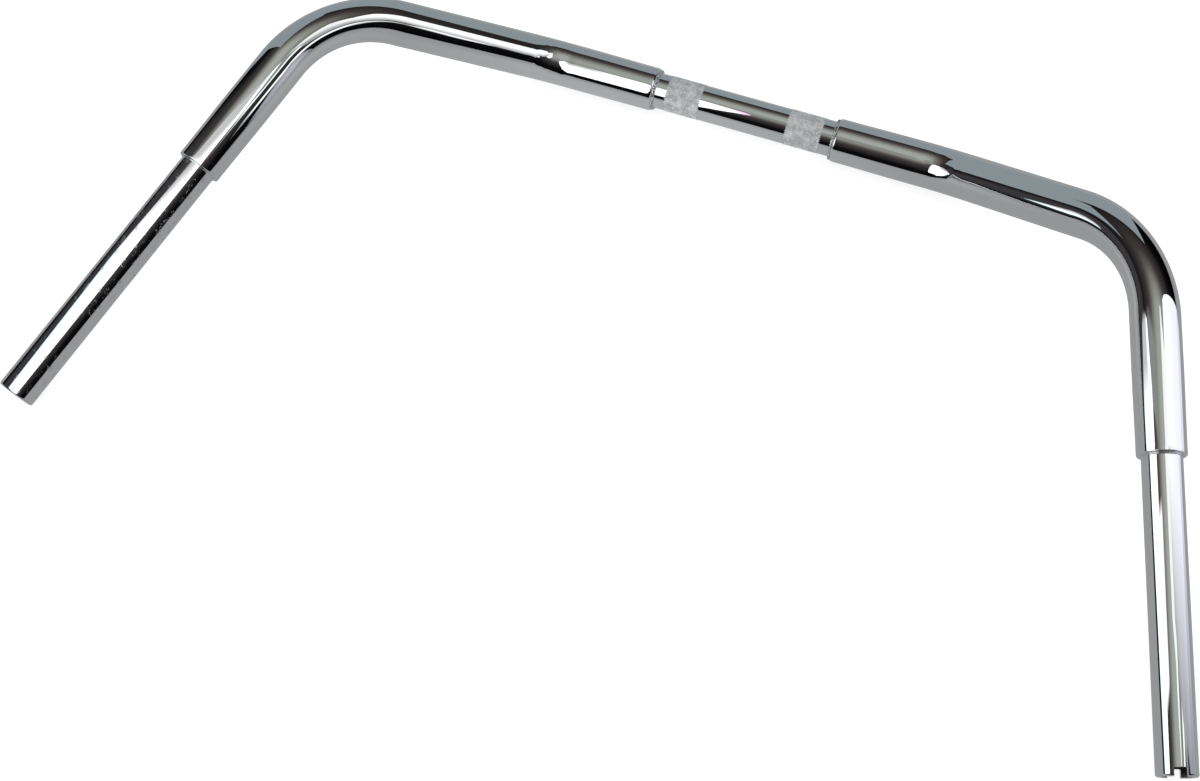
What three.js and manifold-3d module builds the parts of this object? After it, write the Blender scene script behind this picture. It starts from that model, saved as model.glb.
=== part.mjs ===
// A welded motorcycle handlebar: a thin clamp tube in the middle, two fat bent tubes, and two thin grip tubes.
// Millimetres. The bar is drawn with X along the clamp tube, -Y towards the rider and +Z up the rise,
// then laid down on the floor, where it stands on its middle and on both grip ends.

import * as THREE from 'three'
import { mergeVertices } from 'three/addons/utils/BufferGeometryUtils.js'
import Module from 'manifold-3d'

// Centreline: corner points of one half, in millimetres from the middle of the bar
const middleHalfWidth = 148
const cornerHalfWidth = 285.7
const cornerPullback = 42.3
const endHalfWidth = 385.1
const endPullback = 364.9
const rise = 88.7
const riseBendRadius = 60
const gripBendRadius = 88

// Tubes
const thinDiameter = 25.4
const thinWall = 3.05
const fatWall = 2.875
const slipGap = 0.3
const shoulderDraw = 0.375
const taperLength = 55
const bendFlattening = 0.06

// Lengths along the bar
const innerShoulder = 67
const gripLength = 193.7
const clampPlug = 23
const gripPlug = 36

// Knurled bands that the risers grip
const knurlToShoulder = 9.9
const knurlLength = 24.8
const knurlHeight = 0.15
const knurlRamp = 0.5

// Weld beads in the steps between fat and thin tubes
const beadLength = 2.6
const beadHeight = 2.1

// Ends
const shoulderRound = 1.4
const endRound = 0.8
const slotWidth = 8.1
const slotDepth = 5.5

const sides = 28
const degreesPerStep = 7

const chrome = new THREE.MeshStandardMaterial({ color: 0xd4d7da, roughness: 0.06, metalness: 1 })
const bead = new THREE.MeshStandardMaterial({ color: 0xb9bcc0, roughness: 0.2, metalness: 1 })

// The right half of the bar as a tube bender makes it: straight runs with arcs between them
function bentRoute(corners, radii) {
  const turn = new THREE.Quaternion()
  const legs = []
  let direction = new THREE.Vector3().subVectors(corners[1], corners[0]).normalize()
  let lastTangent = 0
  for (let i = 1; i < corners.length; i++) {
    const run = corners[i].distanceTo(corners[i - 1])
    if (i === corners.length - 1) {
      legs.push({ run: run - lastTangent, turn: turn.clone(), angle: 0, radius: 0 })
      break
    }
    const next = new THREE.Vector3().subVectors(corners[i + 1], corners[i]).normalize()
    const angle = direction.angleTo(next)
    const radius = radii[i - 1]
    const tangent = radius * Math.tan(angle / 2)
    const axis = new THREE.Vector3().crossVectors(direction, next).normalize()
    legs.push({ run: run - lastTangent - tangent, turn: turn.clone(), angle, axis, radius })
    turn.premultiply(new THREE.Quaternion().setFromAxisAngle(axis, angle))
    lastTangent = tangent
    direction = next
  }
  return legs
}

const route = bentRoute(
  [
    new THREE.Vector3(0, 0, 0),
    new THREE.Vector3(middleHalfWidth, 0, 0),
    new THREE.Vector3(cornerHalfWidth, -cornerPullback, rise),
    new THREE.Vector3(endHalfWidth, -endPullback, rise),
  ],
  [riseBendRadius, gripBendRadius],
)

const barEnd = route.reduce((sum, leg) => sum + leg.run + leg.angle * leg.radius, 0)
const outerShoulder = barEnd - gripLength

// Place and direction at a distance along the bar: negative distances are on the left half
function placeAt(distance) {
  let left = Math.abs(distance)
  const point = new THREE.Vector3()
  const turn = new THREE.Quaternion()
  const inward = new THREE.Vector3()
  let flattening = 0
  for (const leg of route) {
    turn.copy(leg.turn)
    const along = new THREE.Vector3(1, 0, 0).applyQuaternion(turn)
    const straight = leg.angle === 0 ? left : Math.min(left, leg.run)
    point.addScaledVector(along, straight)
    left -= straight
    if (left <= 0) break
    const angle = Math.min(left / leg.radius, leg.angle)
    const toCentre = new THREE.Vector3().crossVectors(leg.axis, along)
    const step = new THREE.Quaternion().setFromAxisAngle(leg.axis, angle)
    const arm = toCentre.clone().multiplyScalar(-leg.radius).applyQuaternion(step)
    point.addScaledVector(toCentre, leg.radius).add(arm)
    turn.premultiply(step)
    left -= angle * leg.radius
    if (left <= 1e-9) {
      inward.copy(arm).normalize()
      flattening = bendFlattening * Math.sin((Math.PI * angle) / leg.angle) * Math.min(1, leg.angle)
      break
    }
  }
  if (distance < 0) {
    point.x *= -1
    inward.x *= -1
    turn.set(turn.x, -turn.y, -turn.z, turn.w)
  }
  return { point, turn, inward, flattening }
}

// Distances where a tube between two distances needs a ring of vertices: the bends, finely, and their ends
function bendStations(from, to) {
  const stations = []
  let start = 0
  for (const leg of route) {
    start += leg.run
    const steps = Math.ceil(THREE.MathUtils.radToDeg(leg.angle) / degreesPerStep)
    for (let i = 0; i <= steps && leg.angle > 0; i++) {
      stations.push(start + (leg.angle * leg.radius * i) / steps)
    }
    start += leg.angle * leg.radius
  }
  return stations.filter((s) => s > from + 1 && s < to - 1)
}

// A ring profile turned about the bar's centreline: points are [radius, distance along the bar], closed on itself
function turnedOnBar(profile, side = 1) {
  const ordered = profile.map(([radius, distance]) => [radius, side * distance])
  if (side < 0) ordered.reverse()
  const outline = [...ordered, ordered[0]].map(([radius, distance]) => new THREE.Vector2(radius, distance))
  const lathe = new THREE.LatheGeometry(outline, sides)
  lathe.deleteAttribute('normal')
  lathe.deleteAttribute('uv')
  const position = lathe.attributes.position
  for (let i = 0; i < position.count; i++) {
    const { point, turn, inward, flattening } = placeAt(position.getY(i))
    const offset = new THREE.Vector3(0, position.getX(i), position.getZ(i)).applyQuaternion(turn)
    offset.addScaledVector(inward, -offset.dot(inward) * flattening)
    position.setXYZ(i, point.x + offset.x, point.y + offset.y, point.z + offset.z)
  }
  return facesOutward(mergeVertices(lathe, 1e-3))
}

// Turns the faces round if the solid is inside out
function facesOutward(geometry) {
  const { array: points } = geometry.attributes.position
  const { array: corners } = geometry.index
  const [a, b, c] = [new THREE.Vector3(), new THREE.Vector3(), new THREE.Vector3()]
  let volume = 0
  for (let i = 0; i < corners.length; i += 3) {
    a.fromArray(points, corners[i] * 3)
    b.fromArray(points, corners[i + 1] * 3)
    c.fromArray(points, corners[i + 2] * 3)
    volume += a.dot(b.cross(c))
  }
  if (volume < 0) {
    for (let i = 0; i < corners.length; i += 3) {
      const first = corners[i]
      corners[i] = corners[i + 1]
      corners[i + 1] = first
    }
  }
  return geometry
}

const thinRadius = thinDiameter / 2
const thinBore = thinRadius - thinWall
const socketRadius = thinRadius + slipGap
const fatRadius = socketRadius + fatWall
const shoulderRadius = fatRadius - shoulderDraw

// Clamp tube: plugs into both fat tubes and carries the two knurled bands
function clampTube() {
  const reach = innerShoulder + clampPlug
  const bandEnd = innerShoulder - knurlToShoulder
  const bandStart = bandEnd - knurlLength
  const band = [
    [thinRadius, bandStart],
    [thinRadius + knurlHeight, bandStart + knurlRamp],
    [thinRadius + knurlHeight, bandEnd - knurlRamp],
    [thinRadius, bandEnd],
  ]
  const mirrored = band.map(([radius, distance]) => [radius, -distance]).reverse()
  return turnedOnBar([[thinBore, -reach], [thinRadius, -reach], ...mirrored, ...band,
    [thinRadius, reach], [thinBore, reach]])
}

// Fat tube: its ends are drawn in to the shoulder diameter, and its bore takes the thin tubes
function mainTube(side) {
  const start = innerShoulder
  const end = outerShoulder
  const taperEnds = [start + taperLength, end - taperLength]
  const middle = [...taperEnds, ...bendStations(start, end)].sort((a, b) => a - b)
  const outerRadius = (s) => {
    const fromEnd = Math.min(s - start, end - s) / taperLength
    return THREE.MathUtils.lerp(shoulderRadius, fatRadius, Math.min(fromEnd, 1))
  }
  const roundedStart = shoulderEdge(start, 1)
  const roundedEnd = shoulderEdge(end, -1).reverse()
  return turnedOnBar([
    [socketRadius, start],
    ...roundedStart,
    ...middle.map((s) => [outerRadius(s), s]),
    ...roundedEnd,
    [socketRadius, end],
    ...middle.map((s) => [socketRadius, s]).reverse(),
  ], side)
}

// Rounded outer edge of a fat tube's end: an arc in three steps
function shoulderEdge(end, into) {
  const edge = []
  for (let i = 0; i <= 3; i++) {
    const angle = (i / 3) * (Math.PI / 2)
    const radius = shoulderRadius - shoulderRound * (1 - Math.sin(angle))
    edge.push([radius, end + into * shoulderRound * (1 - Math.cos(angle))])
  }
  return edge
}

function gripTube(side) {
  const start = outerShoulder - gripPlug
  const stations = bendStations(start, barEnd)
  return turnedOnBar([
    [thinBore, start],
    [thinRadius, start],
    ...stations.map((s) => [thinRadius, s]),
    [thinRadius, barEnd - endRound],
    [thinRadius - endRound * (1 - Math.SQRT1_2), barEnd - endRound * (1 - Math.SQRT1_2)],
    [thinRadius - endRound, barEnd],
    [thinBore, barEnd],
    ...stations.map((s) => [thinBore, s]).reverse(),
  ], side)
}

// Fillet of weld metal between a fat tube's end face and the thin tube: away points out of the fat tube
function weldBead(shoulder, away, side) {
  const at = (along) => shoulder + away * (slipGap + along)
  const profile = [
    [socketRadius, at(0)],
    [socketRadius + beadHeight, at(0)],
    [socketRadius + beadHeight * 0.72, at(beadLength * 0.3)],
    [socketRadius + beadHeight * 0.3, at(beadLength * 0.72)],
    [socketRadius, at(beadLength)],
  ]
  return turnedOnBar(profile, side)
}

// Booleans
const wasm = await Module()
wasm.setup()

function toSolid(geometry) {
  const plain = new THREE.BufferGeometry()
  plain.setAttribute('position', geometry.attributes.position)
  plain.setIndex(geometry.index)
  const merged = mergeVertices(plain, 1e-4)
  const vertProperties = new Float32Array(merged.attributes.position.array)
  const triVerts = new Uint32Array(merged.index.array)
  return new wasm.Manifold(new wasm.Mesh({ numProp: 3, vertProperties, triVerts }))
}

function fromSolid(solid) {
  const { vertProperties, triVerts } = solid.getMesh()
  const geometry = new THREE.BufferGeometry()
  geometry.setAttribute('position', new THREE.BufferAttribute(vertProperties, 3))
  geometry.setIndex(new THREE.BufferAttribute(triVerts, 1))
  return geometry
}

// The throttle side's grip tube: two facing slots in its end, above and below
function slottedGripTube() {
  const height = thinDiameter * 2
  const slot = new THREE.BoxGeometry(slotDepth * 2, slotWidth, height)
  const { point } = placeAt(barEnd)
  const along = new THREE.Vector3().subVectors(point, placeAt(barEnd - 1).point)
  slot.rotateZ(Math.atan2(along.y, along.x))
  slot.translate(point.x, point.y, point.z)
  return fromSolid(toSolid(gripTube(1)).subtract(toSolid(slot)))
}

// Angle that lays the bar down until its middle and its grip ends touch one floor
function layingAngle() {
  const { point } = placeAt(barEnd)
  const along = new THREE.Vector3().subVectors(point, placeAt(barEnd - 1).point)
  let [low, high] = [0, Math.PI / 4]
  for (let i = 0; i < 40; i++) {
    const angle = (low + high) / 2
    const endHeight = point.y * Math.sin(angle) + point.z * Math.cos(angle)
    const slope = along.y * Math.sin(angle) + along.z * Math.cos(angle)
    const endBottom = endHeight - (thinRadius - endRound) * Math.sqrt(1 - slope * slope)
    if (endBottom > -fatRadius) low = angle
    else high = angle
  }
  return low
}

const bar = new THREE.Group()
bar.rotation.x = layingAngle()

function addMesh(name, geometry, material) {
  const mesh = new THREE.Mesh(geometry, material)
  geometry.computeVertexNormals()
  mesh.name = name
  bar.add(mesh)
}

addMesh('center_clamp_tube', clampTube(), chrome)
for (const [hand, side] of [['left', -1], ['right', 1]]) {
  addMesh(`${hand}_main_tube`, mainTube(side), chrome)
  addMesh(`${hand}_grip_tube`, side > 0 ? slottedGripTube() : gripTube(side), chrome)
  addMesh(`${hand}_inner_weld`, weldBead(innerShoulder, -1, side), bead)
  addMesh(`${hand}_outer_weld`, weldBead(outerShoulder, 1, side), bead)
}

// Origin on the floor, under the middle of the bar's box
const handlebar = new THREE.Group()
handlebar.add(bar)
handlebar.updateMatrixWorld(true)
const box = new THREE.Box3().setFromObject(handlebar, true)
bar.position.set(-(box.min.x + box.max.x) / 2, -(box.min.y + box.max.y) / 2, -box.min.z)

export default handlebar
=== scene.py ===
import math

import bmesh
import bpy
from mathutils import Matrix, Quaternion, Vector


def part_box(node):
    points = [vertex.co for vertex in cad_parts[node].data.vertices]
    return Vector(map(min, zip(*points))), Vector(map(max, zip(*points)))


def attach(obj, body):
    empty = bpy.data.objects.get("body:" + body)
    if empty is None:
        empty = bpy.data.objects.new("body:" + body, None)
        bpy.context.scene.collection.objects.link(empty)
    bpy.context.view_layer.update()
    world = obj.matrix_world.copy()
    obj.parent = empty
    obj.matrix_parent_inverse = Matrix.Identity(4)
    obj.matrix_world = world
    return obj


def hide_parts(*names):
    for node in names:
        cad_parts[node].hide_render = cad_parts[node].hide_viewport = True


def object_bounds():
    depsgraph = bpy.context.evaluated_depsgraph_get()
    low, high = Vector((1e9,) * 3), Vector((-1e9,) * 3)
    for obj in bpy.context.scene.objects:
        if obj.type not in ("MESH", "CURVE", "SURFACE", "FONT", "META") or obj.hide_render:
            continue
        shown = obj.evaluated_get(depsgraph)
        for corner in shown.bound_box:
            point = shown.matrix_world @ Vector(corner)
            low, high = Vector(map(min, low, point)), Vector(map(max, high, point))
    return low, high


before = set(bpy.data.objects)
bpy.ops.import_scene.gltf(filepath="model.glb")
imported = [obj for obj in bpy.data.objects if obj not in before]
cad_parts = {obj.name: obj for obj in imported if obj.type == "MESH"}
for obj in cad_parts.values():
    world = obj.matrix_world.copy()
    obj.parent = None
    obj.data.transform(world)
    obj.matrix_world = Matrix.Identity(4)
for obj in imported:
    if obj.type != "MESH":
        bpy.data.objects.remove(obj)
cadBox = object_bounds()
scene = bpy.context.scene
mm = 0.001
sharpAngle = math.radians(38)  # steeper edges than this stay crisp


# the bar's centreline and tubes, from the middle outwards
barShape = {
    "middleHalfWidth": 148 * mm,
    "cornerHalfWidth": 285.7 * mm,
    "cornerPullback": 42.3 * mm,
    "endHalfWidth": 385.1 * mm,
    "endPullback": 364.9 * mm,
    "rise": 88.7 * mm,
    "bendRadii": (60 * mm, 88 * mm),
    "thinRadius": 12.7 * mm,
    "boreRadius": 9.65 * mm,
    "fatRadius": 15.875 * mm,
    "shoulderRadius": 15.45 * mm,
    "skinTrim": 0.08 * mm,
    "socketRadius": 13.0 * mm,
    "taperLength": 58 * mm,
    "taperSteps": 12,
    "innerShoulder": 67 * mm,
    "gripLength": 193.7 * mm,
    "clampPlug": 23 * mm,
    "gripPlug": 36 * mm,
    "endTrim": 0.05 * mm,
    "shoulderRounds": (1.5 * mm, 1.1 * mm),
    "endRound": 1.5 * mm,
    "endChamfer": 0.5 * mm,
    "restChamfer": 0.8 * mm,
    "boreStep": 30 * mm,
    "bendFlattening": 0.06,
    "guideDegrees": 0.75,
    "outsideDegrees": 1.5,
    "socketDegrees": 5,
    "sides": 144,
}


def bentRoute():
    # straight runs with arcs between them, as a tube bender makes the right half
    corners = [
        Vector((0, 0, 0)),
        Vector((barShape["middleHalfWidth"], 0, 0)),
        Vector((barShape["cornerHalfWidth"], -barShape["cornerPullback"], barShape["rise"])),
        Vector((barShape["endHalfWidth"], -barShape["endPullback"], barShape["rise"])),
    ]
    legs = []
    turn = Quaternion()
    heading = (corners[1] - corners[0]).normalized()
    lastTangent = 0
    for here, corner, after, radius in zip(corners, corners[1:], corners[2:], barShape["bendRadii"]):
        following = (after - corner).normalized()
        angle = heading.angle(following)
        tangent = radius * math.tan(angle / 2)
        axis = heading.cross(following).normalized()
        run = (corner - here).length - lastTangent - tangent
        legs.append({"run": run, "turn": turn.copy(), "angle": angle, "axis": axis, "radius": radius})
        turn = Quaternion(axis, angle) @ turn
        lastTangent = tangent
        heading = following
    run = (corners[-1] - corners[-2]).length - lastTangent
    legs.append({"run": run, "turn": turn.copy(), "angle": 0, "radius": 0})
    return legs


route = bentRoute()
barEnd = sum(leg["run"] + leg["angle"] * leg["radius"] for leg in route)
outerShoulder = barEnd - barShape["gripLength"]


def placeAt(distance):
    # point, direction and inward vector at a signed distance along the bar; the inward
    # vector is as long as the tube is flattened there
    left = abs(distance)
    point = Vector()
    inward = Vector()
    for leg in route:
        along = leg["turn"] @ Vector((1, 0, 0))
        straight = left if leg["angle"] == 0 else min(left, leg["run"])
        point = point + along * straight
        left -= straight
        if left <= 0:
            break
        radius = leg["radius"]
        angle = min(left / radius, leg["angle"])
        toCentre = leg["axis"].cross(along)
        step = Quaternion(leg["axis"], angle)
        arm = step @ (toCentre * -radius)
        point = point + toCentre * radius + arm
        along = step @ along
        left -= angle * radius
        if left <= 1e-9:
            swell = math.sin(math.pi * angle / leg["angle"]) * min(1, leg["angle"])
            inward = arm.normalized() * barShape["bendFlattening"] * swell
            break
    if distance < 0:
        point.x *= -1
        inward.x *= -1
        along = Vector((along.x, -along.y, -along.z))
    return point, along, inward


def layingAngle():
    # lays the bar down until its middle and both grip ends touch the floor
    end, along, _ = placeAt(barEnd)
    low = 0
    high = math.pi / 4
    for _ in range(40):
        angle = (low + high) / 2
        height = end.y * math.sin(angle) + end.z * math.cos(angle)
        dip = along.y * math.sin(angle) + along.z * math.cos(angle)
        bottom = height - (barShape["thinRadius"] - barShape["restChamfer"]) * math.sqrt(1 - dip * dip)
        if bottom > -barShape["fatRadius"]:
            low = angle
        else:
            high = angle
    return low


clampLow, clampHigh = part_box("center_clamp_tube")
barMiddle = (clampLow + clampHigh) / 2
layDown = Matrix.Translation(barMiddle) @ Matrix.Rotation(layingAngle(), 4, "X")


class Value:
    # wraps a socket, so that maths on it is written as an expression
    def __init__(self, tree, socket):
        self.tree = tree
        self.socket = socket

    def maths(self, operation, *others):
        node = self.tree.nodes.new("ShaderNodeMath")
        node.operation = operation
        for index, other in enumerate([self, *others]):
            if isinstance(other, Value):
                self.tree.links.new(other.socket, node.inputs[index])
            else:
                node.inputs[index].default_value = other
        return Value(self.tree, node.outputs[0])

    def __add__(self, other):
        return self.maths("ADD", other)

    def __radd__(self, other):
        return self.maths("ADD", other)

    def __sub__(self, other):
        return self.maths("SUBTRACT", other)

    def __rsub__(self, other):
        return (self * -1).maths("ADD", other)

    def __mul__(self, other):
        return self.maths("MULTIPLY", other)

    def __rmul__(self, other):
        return self.maths("MULTIPLY", other)

    def __truediv__(self, other):
        return self.maths("DIVIDE", other)

    def clamped(self):
        return self.maths("MAXIMUM", 0.0).maths("MINIMUM", 1.0)

    def between(self, low, high):
        # 0 below low, 1 above high, smooth in between; low may be the larger one
        mapped = ((self - low) / (high - low)).clamped()
        return mapped * mapped * (3 - 2 * mapped)


class Graph:
    def __init__(self, tree):
        self.tree = tree
        tree.nodes.clear()

    def node(self, kind, settings=None, **inputs):
        # settings come first, then the sockets by name or by number written as n0, n1
        made = self.tree.nodes.new(kind)
        for name, value in (settings or {}).items():
            if name == "ramp":
                while len(made.color_ramp.elements) < len(value):
                    made.color_ramp.elements.new(0.5)
                for element, (place, colour) in zip(made.color_ramp.elements, value):
                    element.position = place
                    element.color = colour
            else:
                setattr(made, name, value)
        for name, value in inputs.items():
            numbered = name[0] == "n" and name[1:].isdigit()
            socket = made.inputs[int(name[1:]) if numbered else name.replace("_", " ")]
            if isinstance(value, Value):
                self.tree.links.new(value.socket, socket)
            else:
                socket.default_value = value
        return made

    def value(self, made, output=0):
        return Value(self.tree, made.outputs[output])

    def coordinates(self, stretch=(1, 1, 1)):
        # object coordinates, stretched
        place = self.node("ShaderNodeTexCoord")
        mapping = self.node("ShaderNodeMapping", Vector=self.value(place, "Object"), Scale=stretch)
        return self.value(mapping)

    def noise(self, where, scale, detail, roughness):
        made = self.node("ShaderNodeTexNoise", Vector=where, Scale=scale, Detail=detail, Roughness=roughness)
        return self.value(made)

    def vector(self, operation, *others, **inputs):
        # one Vector Math node, given its vectors in order
        numbered = {"n" + str(index): other for index, other in enumerate(others)}
        return self.node("ShaderNodeVectorMath", {"operation": operation}, **numbered, **inputs)

    def mixed(self, factor, first, second):
        made = self.node("ShaderNodeMix", {"data_type": "RGBA"}, n0=factor, n6=first, n7=second)
        return self.value(made, 2)

    def surface(self, shader):
        out = self.node("ShaderNodeOutputMaterial")
        self.tree.links.new(shader.outputs[0], out.inputs["Surface"])


def newMaterial(name):
    material = bpy.data.materials.new(name)
    material.use_nodes = True
    return material, Graph(material.node_tree)


chromeLook = {
    "colour": (0.80, 0.81, 0.815, 1),
    "tint": (0.76, 0.775, 0.79, 1),
    "roughness": 0.018,
    "haze": 0.05,
    "tintShare": 0.8,
    "speckRoughness": 0.12,
    "stain": (0.42, 0.44, 0.45, 1),
    "scuffRoughness": 0.34,
    "scuffStain": 0.45,
    "ripple": 0.018,
    "dent": 0.5,
    "fade": 16,
}

# scuffs from handling, and marks that the bender's die left: distance along the bar and reach, in mm
scuffPlaces = [(-458, 16), (-500, 26), (-535, 34), (-560, 24), (-618, 20), (-632, 12)]
diePlaces = [(-147, 13), (146, 11), (164, 9)]


def nearPlaces(graph, places, soft):
    # 1 around the given places, 0 away from them
    place = graph.node("ShaderNodeTexCoord")
    near = None
    for distance, reach in places:
        spot = layDown @ placeAt(distance * mm)[0]
        gap = graph.vector("DISTANCE", graph.value(place, "Object"), spot)
        here = graph.value(gap, "Value").between((reach + chromeLook["fade"]) * mm, reach * mm * soft)
        near = here if near is None else near.maths("MAXIMUM", here)
    return near


def polishedChrome():
    material, graph = newMaterial("polishedChrome")
    where = graph.coordinates()
    cloud = graph.noise(where, scale=22.0, detail=3.0, roughness=0.6)
    fine = graph.noise(where, scale=420.0, detail=4.0, roughness=0.65)
    speck = graph.noise(where, scale=900.0, detail=2.0, roughness=0.5)
    haze = cloud.between(0.48, 0.75) * 0.5 + fine.between(0.58, 0.8) * 0.5
    specks = speck.between(0.72, 0.76) * cloud.between(0.45, 0.6)
    stretched = graph.coordinates(stretch=(1.0, 0.55, 1.0))
    smear = graph.noise(stretched, scale=260.0, detail=5.0, roughness=0.72)
    scuffs = nearPlaces(graph, scuffPlaces, 0.4) * smear.between(0.53, 0.63)
    wear = specks * chromeLook["speckRoughness"] + scuffs * chromeLook["scuffRoughness"]
    roughness = haze * chromeLook["haze"] + wear + chromeLook["roughness"]
    colour = graph.mixed(haze * chromeLook["tintShare"], chromeLook["colour"], chromeLook["tint"])
    stained = graph.mixed(scuffs * chromeLook["scuffStain"], colour, chromeLook["stain"])
    ripple = graph.noise(where, scale=60.0, detail=1.0, roughness=0.4)
    dents = graph.noise(where, scale=115.0, detail=1.0, roughness=0.5) * nearPlaces(graph, diePlaces, 0.7)
    height = ripple * chromeLook["ripple"] + dents * chromeLook["dent"]
    bump = graph.node("ShaderNodeBump", Strength=1.0, Distance=1 * mm, Height=height)
    shader = graph.node(
        "ShaderNodeBsdfPrincipled",
        Base_Color=stained,
        Metallic=1.0,
        Roughness=roughness,
        Normal=graph.value(bump),
    )
    graph.surface(shader)
    return material


knurlLook = {
    "dull": (0.53, 0.54, 0.55, 1),
    # painted glints on the teeth: the near-white colour that stands for light catching them
    "pale": (0.79, 0.80, 0.81, 1),
    "paintedGlint": (0.97, 0.98, 0.98, 1),
    "metallic": 0.66,
    "roughness": 0.36,
    "patches": 0.2,
}


def knurledChrome():
    # the teeth are blasted flat and matt, with painted glints: scattered near-white spots in the colour that
    # stand for light catching the teeth
    material, graph = newMaterial("knurledChrome")
    where = graph.coordinates()
    blotch = graph.noise(where, scale=210.0, detail=3.0, roughness=0.6)
    grain = graph.noise(where, scale=1500.0, detail=3.0, roughness=0.6)
    # painted glints: where this noise is high, the colour turns near-white
    paintedGlint = graph.noise(where, scale=900.0, detail=2.0, roughness=0.5)
    colour = graph.mixed(blotch.between(0.35, 0.65), knurlLook["dull"], knurlLook["pale"])
    bright = graph.mixed(paintedGlint.between(0.58, 0.68), colour, knurlLook["paintedGlint"])
    bump = graph.node("ShaderNodeBump", Strength=0.8, Distance=0.2 * mm, Height=grain)
    shader = graph.node(
        "ShaderNodeBsdfPrincipled",
        Base_Color=bright,
        Metallic=knurlLook["metallic"],
        Roughness=blotch * knurlLook["patches"] + knurlLook["roughness"],
        Normal=graph.value(bump),
    )
    graph.surface(shader)
    return material


weldLook = {
    "dull": (0.62, 0.63, 0.65, 1),
    "bright": (0.84, 0.85, 0.86, 1),
    "roughness": 0.05,
    "patches": 0.16,
}


def weldChrome():
    material, graph = newMaterial("weldChrome")
    where = graph.coordinates()
    lump = graph.noise(where, scale=520.0, detail=3.0, roughness=0.6)
    bump = graph.node("ShaderNodeBump", Strength=0.7, Distance=0.4 * mm, Height=lump)
    shader = graph.node(
        "ShaderNodeBsdfPrincipled",
        Base_Color=graph.mixed(lump.between(0.4, 0.7), weldLook["dull"], weldLook["bright"]),
        Metallic=1.0,
        Roughness=lump * weldLook["patches"] + weldLook["roughness"],
        Normal=graph.value(bump),
    )
    graph.surface(shader)
    return material


boreLook = {
    "dark": (0.12, 0.115, 0.11, 1),
    "pale": (0.3, 0.29, 0.28, 1),
    "roughness": 0.3,
    "patches": 0.25,
}


def bareBore():
    # the plating thins out inside the tubes, which stay dull
    material, graph = newMaterial("bareBore")
    where = graph.coordinates()
    stain = graph.noise(where, scale=90.0, detail=4.0, roughness=0.6)
    shader = graph.node(
        "ShaderNodeBsdfPrincipled",
        Base_Color=graph.mixed(stain.between(0.35, 0.7), boreLook["dark"], boreLook["pale"]),
        Metallic=1.0,
        Roughness=stain * boreLook["patches"] + boreLook["roughness"],
    )
    graph.surface(shader)
    return material


chrome = polishedChrome()
knurl = knurledChrome()
weld = weldChrome()
bore = bareBore()
print("finishes made")


def barGuide():
    # the whole centreline as a chain of points, with the bend's inward vector on each
    stations = [-barEnd, barEnd, 0.0]
    start = 0
    for leg in route:
        start += leg["run"]
        steps = math.ceil(math.degrees(leg["angle"]) / barShape["guideDegrees"])
        for i in range(steps + 1):
            if leg["angle"]:
                s = start + leg["angle"] * leg["radius"] * i / steps
                stations += [s, -s]
        start += leg["angle"] * leg["radius"]
    stations = sorted(set(stations))
    places = [placeAt(s) for s in stations]
    mesh = bpy.data.meshes.new("barGuide")
    mesh.from_pydata([layDown @ p for p, _, _ in places], [(i, i + 1) for i in range(len(places) - 1)], [])
    inward = mesh.attributes.new("inward", "FLOAT_VECTOR", "POINT")
    for item, (_, _, vector) in zip(inward.data, places):
        item.vector = layDown.to_3x3() @ vector
    guide = bpy.data.objects.new("barGuide", mesh)
    scene.collection.objects.link(guide)
    return guide


def newTree(name, inputs):
    tree = bpy.data.node_groups.new(name, "GeometryNodeTree")
    for label, kind, value in inputs:
        socket = tree.interface.new_socket(label, in_out="INPUT", socket_type=kind)
        if value is not None:
            socket.default_value = value
    tree.interface.new_socket("Geometry", in_out="OUTPUT", socket_type="NodeSocketGeometry")
    return tree, Graph(tree)


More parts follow.
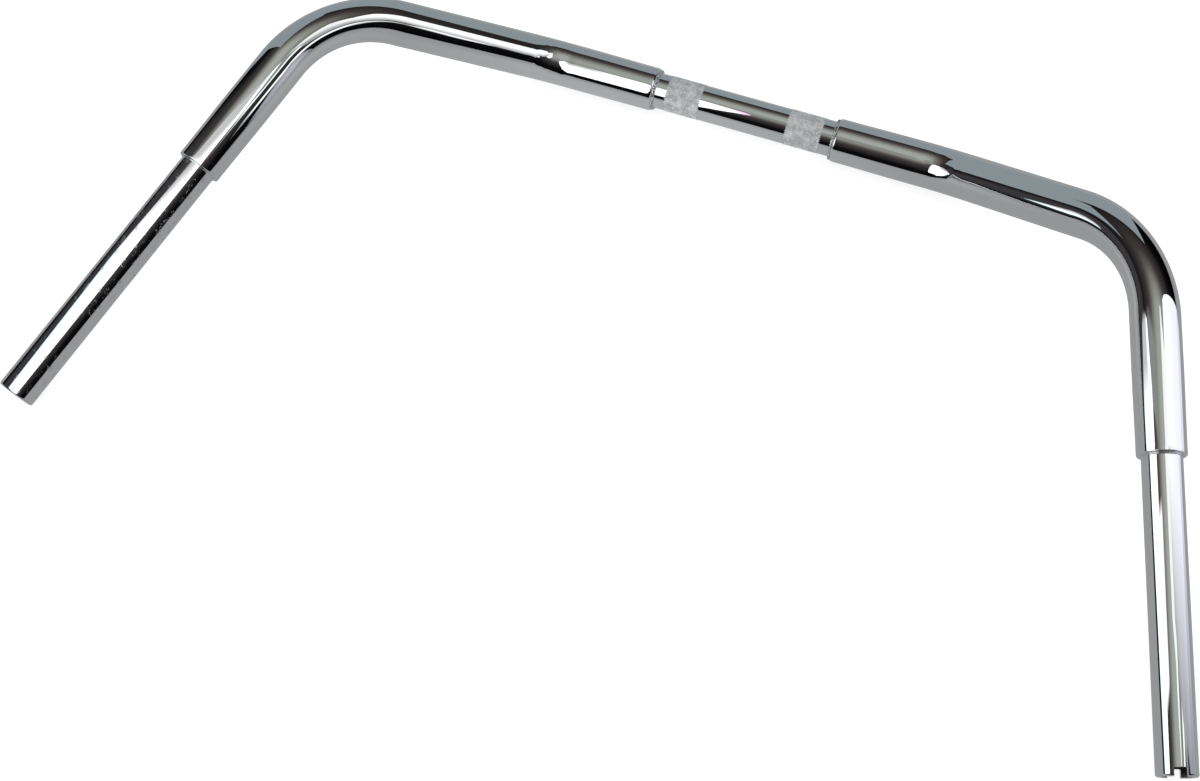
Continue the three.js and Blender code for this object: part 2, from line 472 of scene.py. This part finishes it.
def tubeTree():
    # carries a ring along the bar for every point of an outline
    tree, graph = newTree("tubeOnBar", [
        ("Geometry", "NodeSocketGeometry", None),
        ("Guide", "NodeSocketObject", None),
        ("Sides", "NodeSocketInt", 96),
        ("Bore radius", "NodeSocketFloat", 0.0),
        ("Half length", "NodeSocketFloat", 1.0),
        ("Skin", "NodeSocketMaterial", None),
        ("Inside", "NodeSocketMaterial", None),
    ])
    link = tree.links.new
    given = graph.node("NodeGroupInput")
    outline = given.outputs["Geometry"]
    sides = graph.value(given, "Sides")
    size = graph.node("GeometryNodeAttributeDomainSize")
    link(outline, size.inputs[0])
    points = graph.value(size, "Point Count")
    grid = graph.node("GeometryNodeMeshGrid", n0=1.0, n1=1.0, n2=points + 1, n3=sides + 1)
    index = graph.value(graph.node("GeometryNodeInputIndex"))
    row = (index / (sides + 1)).maths("FLOOR")
    around = (index - row * (sides + 1)) / sides * math.tau
    wrapped = row.maths("MODULO", points)
    sample = graph.node("GeometryNodeSampleIndex", {"data_type": "FLOAT_VECTOR"}, Index=wrapped)
    link(outline, sample.inputs["Geometry"])
    link(graph.node("GeometryNodeInputPosition").outputs[0], sample.inputs["Value"])
    parts = graph.node("ShaderNodeSeparateXYZ", n0=graph.value(sample))
    distance = graph.value(parts, 0)
    radius = graph.value(parts, 1)
    guide = graph.node("GeometryNodeObjectInfo", Object=graph.value(given, "Guide"))
    curve = graph.node("GeometryNodeMeshToCurve", Mesh=graph.value(guide, "Geometry"))
    inward = graph.node("GeometryNodeInputNamedAttribute", {"data_type": "FLOAT_VECTOR"}, Name="inward")
    onBar = graph.node(
        "GeometryNodeSampleCurve",
        {"mode": "LENGTH", "use_all_curves": True, "data_type": "FLOAT_VECTOR"},
        Curves=graph.value(curve),
        Value=graph.value(inward),
        Length=distance + graph.value(given, "Half length"),
    )
    normal = graph.value(onBar, "Normal")
    side = graph.value(graph.vector("CROSS_PRODUCT", graph.value(onBar, "Tangent"), normal))
    alongNormal = graph.vector("SCALE", normal, Scale=radius * around.maths("COSINE"))
    alongSide = graph.vector("SCALE", side, Scale=radius * around.maths("SINE"))
    offset = graph.value(graph.vector("ADD", graph.value(alongNormal), graph.value(alongSide)))
    press = graph.value(onBar, "Value")
    depth = graph.value(graph.vector("LENGTH", press), "Value")
    direction = graph.value(graph.vector("NORMALIZE", press))
    reach = graph.value(graph.vector("DOT_PRODUCT", offset, direction), "Value")
    squeeze = graph.vector("SCALE", direction, Scale=reach * depth * -1)
    first = graph.vector("ADD", graph.value(onBar, "Position"), offset)
    place = graph.vector("ADD", graph.value(first), graph.value(squeeze))
    moved = graph.node("GeometryNodeSetPosition", Geometry=graph.value(grid), Position=graph.value(place))
    keep = graph.node("GeometryNodeStoreNamedAttribute", {"data_type": "FLOAT", "domain": "POINT"},
                      Geometry=graph.value(moved), Name="tubeRadius", Value=radius)
    welded = graph.node("GeometryNodeMergeByDistance", Geometry=graph.value(keep), Distance=2e-6)
    smooth = graph.node("GeometryNodeSetShadeSmooth", Geometry=graph.value(welded))
    skin = graph.node("GeometryNodeSetMaterial", Geometry=graph.value(smooth),
                      Material=graph.value(given, "Skin"))
    kept = graph.node("GeometryNodeInputNamedAttribute", {"data_type": "FLOAT"}, Name="tubeRadius")
    within = graph.value(kept).maths("LESS_THAN", graph.value(given, "Bore radius") + 0.02 * mm)
    final = graph.node("GeometryNodeSetMaterial", Geometry=graph.value(skin), Selection=within,
                       Material=graph.value(given, "Inside"))
    out = graph.node("NodeGroupOutput")
    link(final.outputs[0], out.inputs[0])
    return tree


def bakedPiece(name, tree, mesh, inputs):
    # runs a node tree on a mesh and leaves a plain mesh, with its faces pointing out
    piece = bpy.data.objects.new(name, mesh)
    scene.collection.objects.link(piece)
    modifier = piece.modifiers.new("shape", "NODES")
    modifier.node_group = tree
    for item in tree.interface.items_tree:
        if item.in_out == "INPUT" and item.name in inputs:
            modifier[item.identifier] = inputs[item.name]
    plain(piece)
    return piece


def plain(piece):
    # applies whatever modifiers the piece has
    shape = piece.evaluated_get(bpy.context.evaluated_depsgraph_get())
    baked = bpy.data.meshes.new_from_object(shape)
    piece.modifiers.clear()
    piece.data = baked
    work = bmesh.new()
    work.from_mesh(baked)
    if work.calc_volume(signed=True) < 0:
        bmesh.ops.reverse_faces(work, faces=work.faces)
    work.to_mesh(baked)
    work.free()
    baked.set_sharp_from_angle(angle=sharpAngle)


def outlineMesh(name, points):
    # closed outline: x is the distance along the bar, y the radius there
    mesh = bpy.data.meshes.new(name)
    edges = [(i, (i + 1) % len(points)) for i in range(len(points))]
    mesh.from_pydata([(distance, radius, 0) for radius, distance in points], edges, [])
    return mesh


def bendStations(first, last, degrees):
    stations = []
    start = 0
    for leg in route:
        start += leg["run"]
        steps = math.ceil(math.degrees(leg["angle"]) / degrees) if leg["angle"] else 0
        stations += [start + leg["angle"] * leg["radius"] * i / steps for i in range(steps + 1) if steps]
        start += leg["angle"] * leg["radius"]
    return [s for s in stations if first + 1 * mm < s < last - 1 * mm]  # clear of the edges


def roundedEdge(radius, end, into, size):
    # an arc from the end face round to the outside
    edge = []
    steps = 7
    for i in range(steps + 1):
        angle = i / steps * math.pi / 2
        edge.append((radius - size * (1 - math.sin(angle)), end + into * size * (1 - math.cos(angle))))
    return edge


def mainOutline(side):
    start = barShape["innerShoulder"]
    end = outerShoulder
    socket = barShape["socketRadius"]
    shoulder = barShape["shoulderRadius"]
    full = barShape["fatRadius"] - barShape["skinTrim"]
    taper = barShape["taperLength"]
    startRound, endRound = barShape["shoulderRounds"]

    def outer(s):
        share = min(1, min(s - start, end - s) / taper)
        share = share * share * (3 - 2 * share)
        return shoulder + (full - shoulder) * share

    tapers = []
    for i in range(1, barShape["taperSteps"] + 1):
        step = taper * i / barShape["taperSteps"]
        tapers += [start + step, end - step]
    stations = sorted(tapers + bendStations(start, end, barShape["outsideDegrees"]))
    inner = bendStations(start, end, barShape["socketDegrees"])
    points = [(socket, start)]
    points += roundedEdge(shoulder, start, 1, startRound)
    points += [(outer(s), s) for s in stations]
    points += reversed(roundedEdge(shoulder, end, -1, endRound))
    points += [(socket, end)]
    points += [(socket, s) for s in reversed(inner)]
    return [(radius, side * s) for radius, s in points]


def gripOutline(side):
    start = outerShoulder - barShape["gripPlug"]
    end = barEnd - barShape["endTrim"]
    thin = barShape["thinRadius"] - barShape["skinTrim"]
    hollow = barShape["boreRadius"]
    chamfer = barShape["endChamfer"]
    points = [(hollow, start), (thin, start)]
    points += [(thin, s) for s in (outerShoulder, (outerShoulder + end) / 2)]
    points += reversed(roundedEdge(thin, end, -1, barShape["endRound"]))
    points += [(hollow + chamfer, end), (hollow, end - chamfer)]
    points += [(hollow, end - barShape["boreStep"])]  # keeps the faces by the slots short
    return [(radius, side * s) for radius, s in points]


def clampOutline():
    shoulder = barShape["innerShoulder"]
    reach = shoulder + barShape["clampPlug"]
    thin = barShape["thinRadius"] - barShape["skinTrim"]
    hollow = barShape["boreRadius"]
    outside = [(thin, s) for s in (-reach, -shoulder, 0, shoulder, reach)]
    return [(hollow, -reach)] + outside + [(hollow, reach), (hollow, 0)]


guide = barGuide()
tubes = tubeTree()


def tubePiece(name, outline):
    return bakedPiece(name, tubes, outlineMesh(name, outline), {
        "Guide": guide,
        "Sides": barShape["sides"],
        "Bore radius": barShape["boreRadius"],
        "Half length": barEnd,
        "Skin": chrome,
        "Inside": bore,
    })


def standsFor(piece, node):
    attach(piece, "root")
    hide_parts(node)


clampTube = tubePiece("clampTube", clampOutline())
standsFor(clampTube, "center_clamp_tube")
grips = {}
for hand, side in (("left", -1), ("right", 1)):
    mainTube = tubePiece(hand + "MainTube", mainOutline(side))
    standsFor(mainTube, hand + "_main_tube")
    grips[hand] = tubePiece(hand + "GripTube", gripOutline(side))
print("tubes made")


# two slots across the throttle side's end
slotShape = {"width": 8.1 * mm, "depth": 5.5 * mm, "corner": 0.9 * mm, "cutterHeight": 60 * mm}


def cutSlots(grip):
    point, along, _ = placeAt(barEnd)
    turn = Matrix.Rotation(math.atan2(along.y, along.x), 4, "Z")
    cutter = bpy.data.meshes.new("slotCutter")
    work = bmesh.new()
    bmesh.ops.create_cube(work, size=1)
    cutterSize = (slotShape["depth"] * 2, slotShape["width"], slotShape["cutterHeight"])
    bmesh.ops.scale(work, verts=work.verts, vec=cutterSize)
    edges = [e for e in work.edges if abs(e.verts[0].co.z - e.verts[1].co.z) > 1 * mm]
    bmesh.ops.bevel(work, geom=edges, offset=slotShape["corner"], segments=5, affect="EDGES", profile=0.5)
    work.to_mesh(cutter)
    work.free()
    cutter.transform(layDown @ Matrix.Translation(point) @ turn)
    cutter.materials.append(chrome)
    tool = bpy.data.objects.new("slotCutter", cutter)
    scene.collection.objects.link(tool)
    cut = grip.modifiers.new("slots", "BOOLEAN")
    cut.operation = "DIFFERENCE"
    cut.solver = "EXACT"
    cut.object = tool
    plain(grip)
    bpy.data.objects.remove(tool)


cutSlots(grips["right"])
for hand, grip in grips.items():
    standsFor(grip, hand + "_grip_tube")
print("grip ends made")


# bands of small diamonds that the risers grip
knurlShape = {
    "toShoulder": 9.9 * mm,
    "length": 24.8 * mm,
    "around": 56,
    "along": 0.9 * mm,
    "height": 0.24 * mm,
    "sunk": 0.04 * mm,
    "wear": 0.25,
}


def knurlTree():
    # staggered rows of truncated diamonds round the tube, each worn down by its own amount
    tree, graph = newTree("knurl", [
        ("Geometry", "NodeSocketGeometry", None),
        ("Around", "NodeSocketInt", 56),
        ("Rows", "NodeSocketInt", 27),
        ("Radius", "NodeSocketFloat", 0.0127),
        ("Step", "NodeSocketFloat", 0.0009),
        ("Height", "NodeSocketFloat", 0.0002),
        ("Centre", "NodeSocketFloat", 0.0),
        ("Wear", "NodeSocketFloat", 0.25),
        ("Seed", "NodeSocketInt", 4),
        ("Finish", "NodeSocketMaterial", None),
    ])
    given = graph.node("NodeGroupInput")
    around = graph.value(given, "Around")
    rows = graph.value(given, "Rows")
    radius = graph.value(given, "Radius")
    step = graph.value(given, "Step")
    index = graph.value(graph.node("GeometryNodeInputIndex"))
    row = (index / around).maths("FLOOR")
    column = index - row * around
    angle = (column + row.maths("MODULO", 2.0) * 0.5) / around * math.tau
    x = (row - (rows - 1) * 0.5) * step + graph.value(given, "Centre")
    y = angle.maths("SINE") * radius * -1
    z = angle.maths("COSINE") * radius
    place = graph.node("ShaderNodeCombineXYZ", n0=x, n1=y, n2=z)
    points = graph.node("GeometryNodePoints", Count=rows * around, Position=graph.value(place))
    worn = graph.node("FunctionNodeRandomValue", {"data_type": "FLOAT"}, n2=0.0, n3=1.0,
                      Seed=graph.value(given, "Seed"))
    tall = 1 - graph.value(worn, 1) * graph.value(given, "Wear")
    diamond = graph.node(
        "GeometryNodeMeshCone",
        {"fill_type": "NGON"},
        Vertices=4,
        Radius_Top=0.34,
        Radius_Bottom=1.0,
        Depth=1.0,
    )
    size = graph.node("ShaderNodeCombineXYZ", n0=step, n1=radius * math.pi / around,
                      n2=tall * graph.value(given, "Height"))
    turn = graph.node("ShaderNodeCombineXYZ", n0=angle)
    copies = graph.node("GeometryNodeInstanceOnPoints", Points=graph.value(points),
                        Instance=graph.value(diamond), Rotation=graph.value(turn), Scale=graph.value(size))
    real = graph.node("GeometryNodeRealizeInstances", Geometry=graph.value(copies))
    final = graph.node("GeometryNodeSetMaterial", Geometry=graph.value(real),
                       Material=graph.value(given, "Finish"))
    out = graph.node("NodeGroupOutput")
    tree.links.new(final.outputs[0], out.inputs[0])
    return tree


knurls = knurlTree()
bandCentre = barShape["innerShoulder"] - knurlShape["toShoulder"] - knurlShape["length"] / 2
for hand, side in (("left", -1), ("right", 1)):
    band = bakedPiece(hand + "Knurl", knurls, bpy.data.meshes.new("knurlStart"), {
        "Around": knurlShape["around"],
        "Rows": round(knurlShape["length"] / knurlShape["along"]),
        "Radius": barShape["thinRadius"] - knurlShape["sunk"],
        "Step": knurlShape["along"],
        "Height": knurlShape["height"],
        "Centre": side * bandCentre,
        "Wear": knurlShape["wear"],
        "Seed": 4 + side,
        "Finish": knurl,
    })
    band.data.transform(layDown)
    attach(band, "root")
print("knurled bands made")


# weld beads: a fillet ring with overlapping ripples
beadShape = {
    "inner": {"thickness": 1.08 * mm, "lumps": 0.5, "ripples": 54, "rippleSize": 1.12, "finish": weld},
    "outer": {"thickness": 0.5 * mm, "lumps": 0.06, "ripples": 54, "rippleSize": 0.8, "finish": chrome},
    "lift": 0.65,
    "ringSteps": 160,
}


def beadTree():
    # a lumpy tube round the ring, and a row of overlapping drops on it
    tree, graph = newTree("weldBead", [
        ("Geometry", "NodeSocketGeometry", None),
        ("Ripples", "NodeSocketInt", 54),
        ("Thickness", "NodeSocketFloat", 0.001),
        ("Lumps", "NodeSocketFloat", 0.5),
        ("Ripple size", "NodeSocketFloat", 1.12),
        ("Seed", "NodeSocketInt", 1),
        ("Finish", "NodeSocketMaterial", None),
    ])
    given = graph.node("NodeGroupInput")
    thick = graph.value(given, "Thickness")
    ring = graph.node("GeometryNodeMeshToCurve", Mesh=graph.value(given, "Geometry"))
    circle = graph.node("GeometryNodeCurvePrimitiveCircle", Resolution=14, Radius=thick)
    fillet = graph.node("GeometryNodeCurveToMesh", Curve=graph.value(ring), Profile_Curve=graph.value(circle))
    seed = graph.value(given, "Seed")
    lump = graph.node("ShaderNodeTexNoise", {"noise_dimensions": "4D"}, W=seed * 3.1, Scale=700.0, Detail=1.0)
    bulge = (graph.value(lump) - 0.5) * thick * graph.value(given, "Lumps")
    push = graph.vector("SCALE", graph.value(graph.node("GeometryNodeInputNormal")), Scale=bulge)
    uneven = graph.node("GeometryNodeSetPosition", Geometry=graph.value(fillet), Offset=graph.value(push))
    count = graph.value(given, "Ripples")
    spots = graph.node("GeometryNodeResampleCurve", Curve=graph.value(ring), Count=count)
    tangent = graph.node("GeometryNodeInputTangent")
    facing = graph.node("FunctionNodeAlignRotationToVector", {"axis": "Z"}, Vector=graph.value(tangent))
    vary = graph.node("FunctionNodeRandomValue", {"data_type": "FLOAT"}, n2=0.85, n3=1.2, Seed=seed)
    drop = graph.node("GeometryNodeMeshUVSphere", Segments=14, Rings=8, Radius=1.0)
    wide = thick * graph.value(given, "Ripple size")
    size = graph.node("ShaderNodeCombineXYZ", n0=wide, n1=wide, n2=wide * 0.55)
    spread = graph.vector("SCALE", graph.value(size), Scale=graph.value(vary, 1))
    ripples = graph.node("GeometryNodeInstanceOnPoints", Points=graph.value(spots),
                         Instance=graph.value(drop), Rotation=graph.value(facing), Scale=graph.value(spread))
    both = graph.node("GeometryNodeJoinGeometry")
    tree.links.new(uneven.outputs[0], both.inputs[0])
    tree.links.new(ripples.outputs[0], both.inputs[0])
    smooth = graph.node("GeometryNodeSetShadeSmooth", Geometry=graph.value(both))
    real = graph.node("GeometryNodeRealizeInstances", Geometry=graph.value(smooth))
    final = graph.node("GeometryNodeSetMaterial", Geometry=graph.value(real),
                       Material=graph.value(given, "Finish"))
    out = graph.node("NodeGroupOutput")
    tree.links.new(final.outputs[0], out.inputs[0])
    return tree


def ringAround(name, distance, radius):
    # a closed ring of points square to the bar
    steps = beadShape["ringSteps"]
    point, along, _ = placeAt(distance)
    across = along.orthogonal().normalized()
    upward = along.cross(across)
    mesh = bpy.data.meshes.new(name)
    spots = []
    for i in range(steps):
        angle = i / steps * math.tau
        spots.append(layDown @ (point + (across * math.cos(angle) + upward * math.sin(angle)) * radius))
    mesh.from_pydata(spots, [(i, (i + 1) % steps) for i in range(steps)], [])
    return mesh


beads = beadTree()
seed = 0
for hand, side in (("left", -1), ("right", 1)):
    for place, shoulder, away in (("inner", barShape["innerShoulder"], -1), ("outer", outerShoulder, 1)):
        seed += 1
        shape = beadShape[place]
        name = hand + place.capitalize() + "Weld"
        out = shape["thickness"] * beadShape["lift"]
        ring = ringAround(name, side * (shoulder + away * out), barShape["thinRadius"] + out)
        bead = bakedPiece(name, beads, ring, {
            "Ripples": shape["ripples"],
            "Thickness": shape["thickness"],
            "Lumps": shape["lumps"],
            "Ripple size": shape["rippleSize"],
            "Seed": seed,
            "Finish": shape["finish"],
        })
        standsFor(bead, hand + "_" + place + "_weld")
print("weld beads made")


bpy.data.objects.remove(guide)


studioLook = {
    "floorReach": 6,
    "reflectionLeft": -1.7,
    "reflectionDrop": 2 * mm,
    "floorPaint": (0.45, 0.45, 0.45, 1),
    "floorGlow": 0.74,
    "floorSeen": (0.3675, 0.3713, 0.375, 1),
    "floorSeenNear": (0.4753, 0.4802, 0.485, 1),
    "floorSeenFar": (0.3087, 0.3119, 0.315, 1),
    "slopeFoot": (-490, 160),
    "slopeRise": 0.794,
    "white": (1, 1, 1, 1),
    "pink": (0.70, 0.46, 0.62, 1),
    "cyan": (0.42, 0.72, 0.70, 1),
    "lavender": (0.88, 0.87, 1.0, 1),
}


def around(x, y, z):
    # a studio point, from the middle of the bar, in millimetres
    return (barMiddle.x + x * mm, barMiddle.y + y * mm, barMiddle.z + z * mm)


def slope(x, y):
    # a point on the tilted plane that the overhead softbox lies in
    foot, height = studioLook["slopeFoot"]
    return around(x, y, height + (x - foot) * studioLook["slopeRise"])


def upright(x, *places):
    # corners on a wall that faces the bar from the side, from their y and z
    return [around(x, y, z) for y, z in places]


def stageSheet(name, corners, material, seen):
    # a flat sheet of the studio, its uv running along it and up it; seen lists the rays that meet it
    mesh = bpy.data.meshes.new(name)
    mesh.from_pydata(corners, [], [range(len(corners))])
    low = min(c[2] for c in corners)
    high = max(c[2] for c in corners)
    near = min(c[1] for c in corners)
    far = max(c[1] for c in corners)
    layer = mesh.uv_layers.new(name="sheet")
    for loop, corner in zip(layer.data, corners):
        loop.uv = ((corner[1] - near) / max(far - near, mm), (corner[2] - low) / max(high - low, mm))
    mesh.materials.append(material)
    sheet = bpy.data.objects.new(name, mesh)
    scene.collection.objects.link(sheet)
    sheet.visible_camera = "camera" in seen
    sheet.visible_diffuse = "diffuse" in seen
    sheet.visible_glossy = "glossy" in seen
    sheet.visible_shadow = "shadow" in seen
    sheet.visible_transmission = False


def floorPaint():
    material, graph = newMaterial("floorPaint")
    shader = graph.node(
        "ShaderNodeBsdfPrincipled",
        Base_Color=studioLook["floorPaint"],
        Roughness=0.9,
        Emission_Color=studioLook["white"],
        Emission_Strength=studioLook["floorGlow"],
    )
    graph.surface(shader)
    return material


def floorGrey():
    # the floor as the chrome sees it: a pool of light by the clamp section, dimmer further off
    material, graph = newMaterial("floorGrey")
    place = graph.node("ShaderNodeTexCoord")
    pool = around(-70, -20, -barMiddle.z / mm)
    gap = graph.value(graph.vector("DISTANCE", graph.value(place, "Object"), pool), "Value")
    near = graph.mixed(gap.between(230 * mm, 30 * mm), studioLook["floorSeen"], studioLook["floorSeenNear"])
    shade = graph.mixed(gap.between(500 * mm, 1500 * mm), near, studioLook["floorSeenFar"])
    graph.surface(graph.node("ShaderNodeEmission", Color=shade, Strength=1.0))
    return material


def glow(name, colour, strength, edge=0.0, upper=None, lower=None, fringe=0.1, fall=None, spared=None,
         oneSided=False):
    # a light sheet: edge softens its rim, upper and lower tint its top and bottom, fall dims it along its
    # length except where spared, and a one-sided sheet is clear from behind
    material, graph = newMaterial(name)
    place = graph.node("ShaderNodeTexCoord")
    parts = graph.node("ShaderNodeSeparateXYZ", n0=graph.value(place, "UV"))
    across = graph.value(parts, 0)
    height = graph.value(parts, 1)
    shade = colour
    if upper:
        shade = graph.mixed(height.between(1 - fringe, 1.0), shade, upper)
    if lower:
        shade = graph.mixed(height.between(fringe, 0.0), shade, lower)
    if fall:
        low, high, rest = fall
        share = ((across - low) / (high - low)).clamped() * (1 - rest) + rest
        if spared:
            share = share.maths("MAXIMUM", height.between(*spared))
        shade = graph.mixed(share, (0, 0, 0, 1), shade)
    light = graph.node("ShaderNodeEmission", Color=shade, Strength=strength)
    if not edge:
        graph.surface(light)
        return material
    cover = across.between(0, edge) * across.between(1, 1 - edge)
    cover = cover * height.between(0, edge) * height.between(1, 1 - edge)
    if oneSided:
        cover = cover * (1 - graph.value(graph.node("ShaderNodeNewGeometry"), "Backfacing"))
    clear = graph.node("ShaderNodeBsdfTransparent")
    mix = graph.node("ShaderNodeMixShader", n0=cover)
    graph.tree.links.new(clear.outputs[0], mix.inputs[1])
    graph.tree.links.new(light.outputs[0], mix.inputs[2])
    graph.surface(mix)
    return material


def floorCorners(left, height):
    reach = studioLook["floorReach"]
    return [(left, -reach, height), (reach, -reach, height), (reach, reach, height), (left, reach, height)]


floorZ = cadBox[0][2]
floorSheet = floorCorners(-studioLook["floorReach"], floorZ)
reflectionSheet = floorCorners(studioLook["reflectionLeft"], floorZ - studioLook["reflectionDrop"])
stageSheet("floor", floorSheet, floorPaint(), ("camera", "diffuse", "shadow"))
stageSheet("floorReflection", reflectionSheet, floorGrey(), ("glossy",))

white = studioLook["white"]
pink = studioLook["pink"]
cyan = studioLook["cyan"]
lavender = studioLook["lavender"]
greyWall = glow("wallGrey", (0.30, 0.345, 0.365, 1), 1.0)

# sheets that only the chrome sees, in millimetres from the middle of the bar
cards = {
    "backWall": (
        [around(-700, 700, -60), around(420, 700, -60), around(420, 700, 725), around(-700, 700, 725)],
        greyWall,
    ),
    "leftWall": (upright(-700, (90, -60), (700, -60), (700, 900), (90, 900)), greyWall),
    "gripSoftbox": (
        [slope(-490, -255), slope(-490, -900), slope(-195, -940), slope(-74, -340), slope(-66, -250),
         slope(-150, -172), slope(-340, -160)],
        glow("gripGlow", white, 1.7, 0.02, pink, cyan, fall=(0.93, 0.85, 0.4), spared=(0.6, 0.76)),
    ),
    "gripFlag": (
        upright(250, (-412, 95), (-250, 95), (-250, 225), (-412, 225)),
        glow("flagGlow", white, 1.3, 0.1, pink, oneSided=True),
    ),
    "softboxHalo": (
        [slope(-150, -150), slope(-80, -258), slope(80, -280), slope(120, -150)],
        glow("haloGlow", (0.95, 1.0, 0.96, 1), 0.3, 0.2),
    ),
    "lowSideBox": (
        upright(701, (-480, 530), (-320, 512), (-320, 700), (-480, 700)),
        glow("lowSideGlow", white, 1.3, 0.04, fall=(0.1, 0.5, 0)),
    ),
    "highSideBox": (
        upright(701, (-650, 1420), (-320, 1150), (-320, 2200), (-650, 2400)),
        glow("highSideGlow", (0.9, 1, 0.99, 1), 1.3, 0.03, fall=(0, 0.36, 0)),
    ),
    "sideSoftbox": (
        upright(702, (-340, 80), (190, 80), (230, 450), (300, 1050), (300, 1500), (-340, 1420)),
        glow("sideGlow", white, 1.3, 0.02, None, lavender, 0.5, fall=(-0.17, 0.43, 0)),
    ),
    "sideSoftboxFoot": (
        upright(703, (-310, -72), (190, -72), (190, 95), (-310, 95)),
        glow("footGlow", lavender, 1.08, 0.02, fall=(-0.4, 0.7, 0)),
    ),
    "topSoftbox": (
        [around(375, -430, 1430), around(700, -430, 1425), around(700, 60, 1425), around(375, 60, 1430)],
        glow("topGlow", white, 1.15),
    ),
    "dimWall": (
        upright(-705, (-900, 60), (90, 60), (90, 620), (-900, 620)),
        glow("dimGlow", (1.0, 0.92, 1.0, 1), 0.05, 0.25),
    ),
}
for name, (corners, light) in cards.items():
    stageSheet(name, corners, light, ("glossy",))


def studioWorld():
    # what the chrome sees is a dark room with a lit ceiling; everything else is lit by an even white
    world = bpy.data.worlds.new("studio")
    scene.world = world
    world.use_nodes = True
    graph = Graph(world.node_tree)
    place = graph.node("ShaderNodeTexCoord")
    parts = graph.node("ShaderNodeSeparateXYZ", n0=graph.value(place, "Generated"))
    climb = graph.value(parts, 2) - graph.value(parts, 1) * 0.12  # brightest a little in front of overhead
    ceiling = graph.node("ShaderNodeValToRGB", {"ramp": [
        (0.0, (0.0, 0.0, 0.001, 1)), (0.45, (0.005, 0.0045, 0.005, 1)), (0.7, (0.036, 0.032, 0.031, 1)),
        (0.8, (0.06, 0.052, 0.05, 1)), (0.87, (0.125, 0.115, 0.105, 1)), (0.94, (0.27, 0.27, 0.24, 1)),
        (1.0, (0.44, 0.46, 0.43, 1)),
    ]}, n0=climb)
    room = graph.node("ShaderNodeBackground", Color=graph.value(ceiling), Strength=1.0)
    even = graph.node("ShaderNodeBackground", Color=(1, 1, 1, 1), Strength=1.0)
    rays = graph.node("ShaderNodeLightPath")
    mix = graph.node("ShaderNodeMixShader", n0=graph.value(rays, "Is Glossy Ray"))
    graph.tree.links.new(even.outputs[0], mix.inputs[1])
    graph.tree.links.new(room.outputs[0], mix.inputs[2])
    out = graph.node("ShaderNodeOutputWorld")
    graph.tree.links.new(mix.outputs[0], out.inputs["Surface"])


studioWorld()
scene.view_settings.view_transform = "Standard"

view = bpy.data.cameras.new("view")
view.lens = 54.826
view.sensor_width = 36
camera = bpy.data.objects.new("view", view)
camera.location = (0.1805, -0.6046, 1.0665)
camera.rotation_euler = [math.radians(angle) for angle in (28.787, 0.450, 19.705)]
scene.collection.objects.link(camera)
scene.camera = camera
print("studio made")
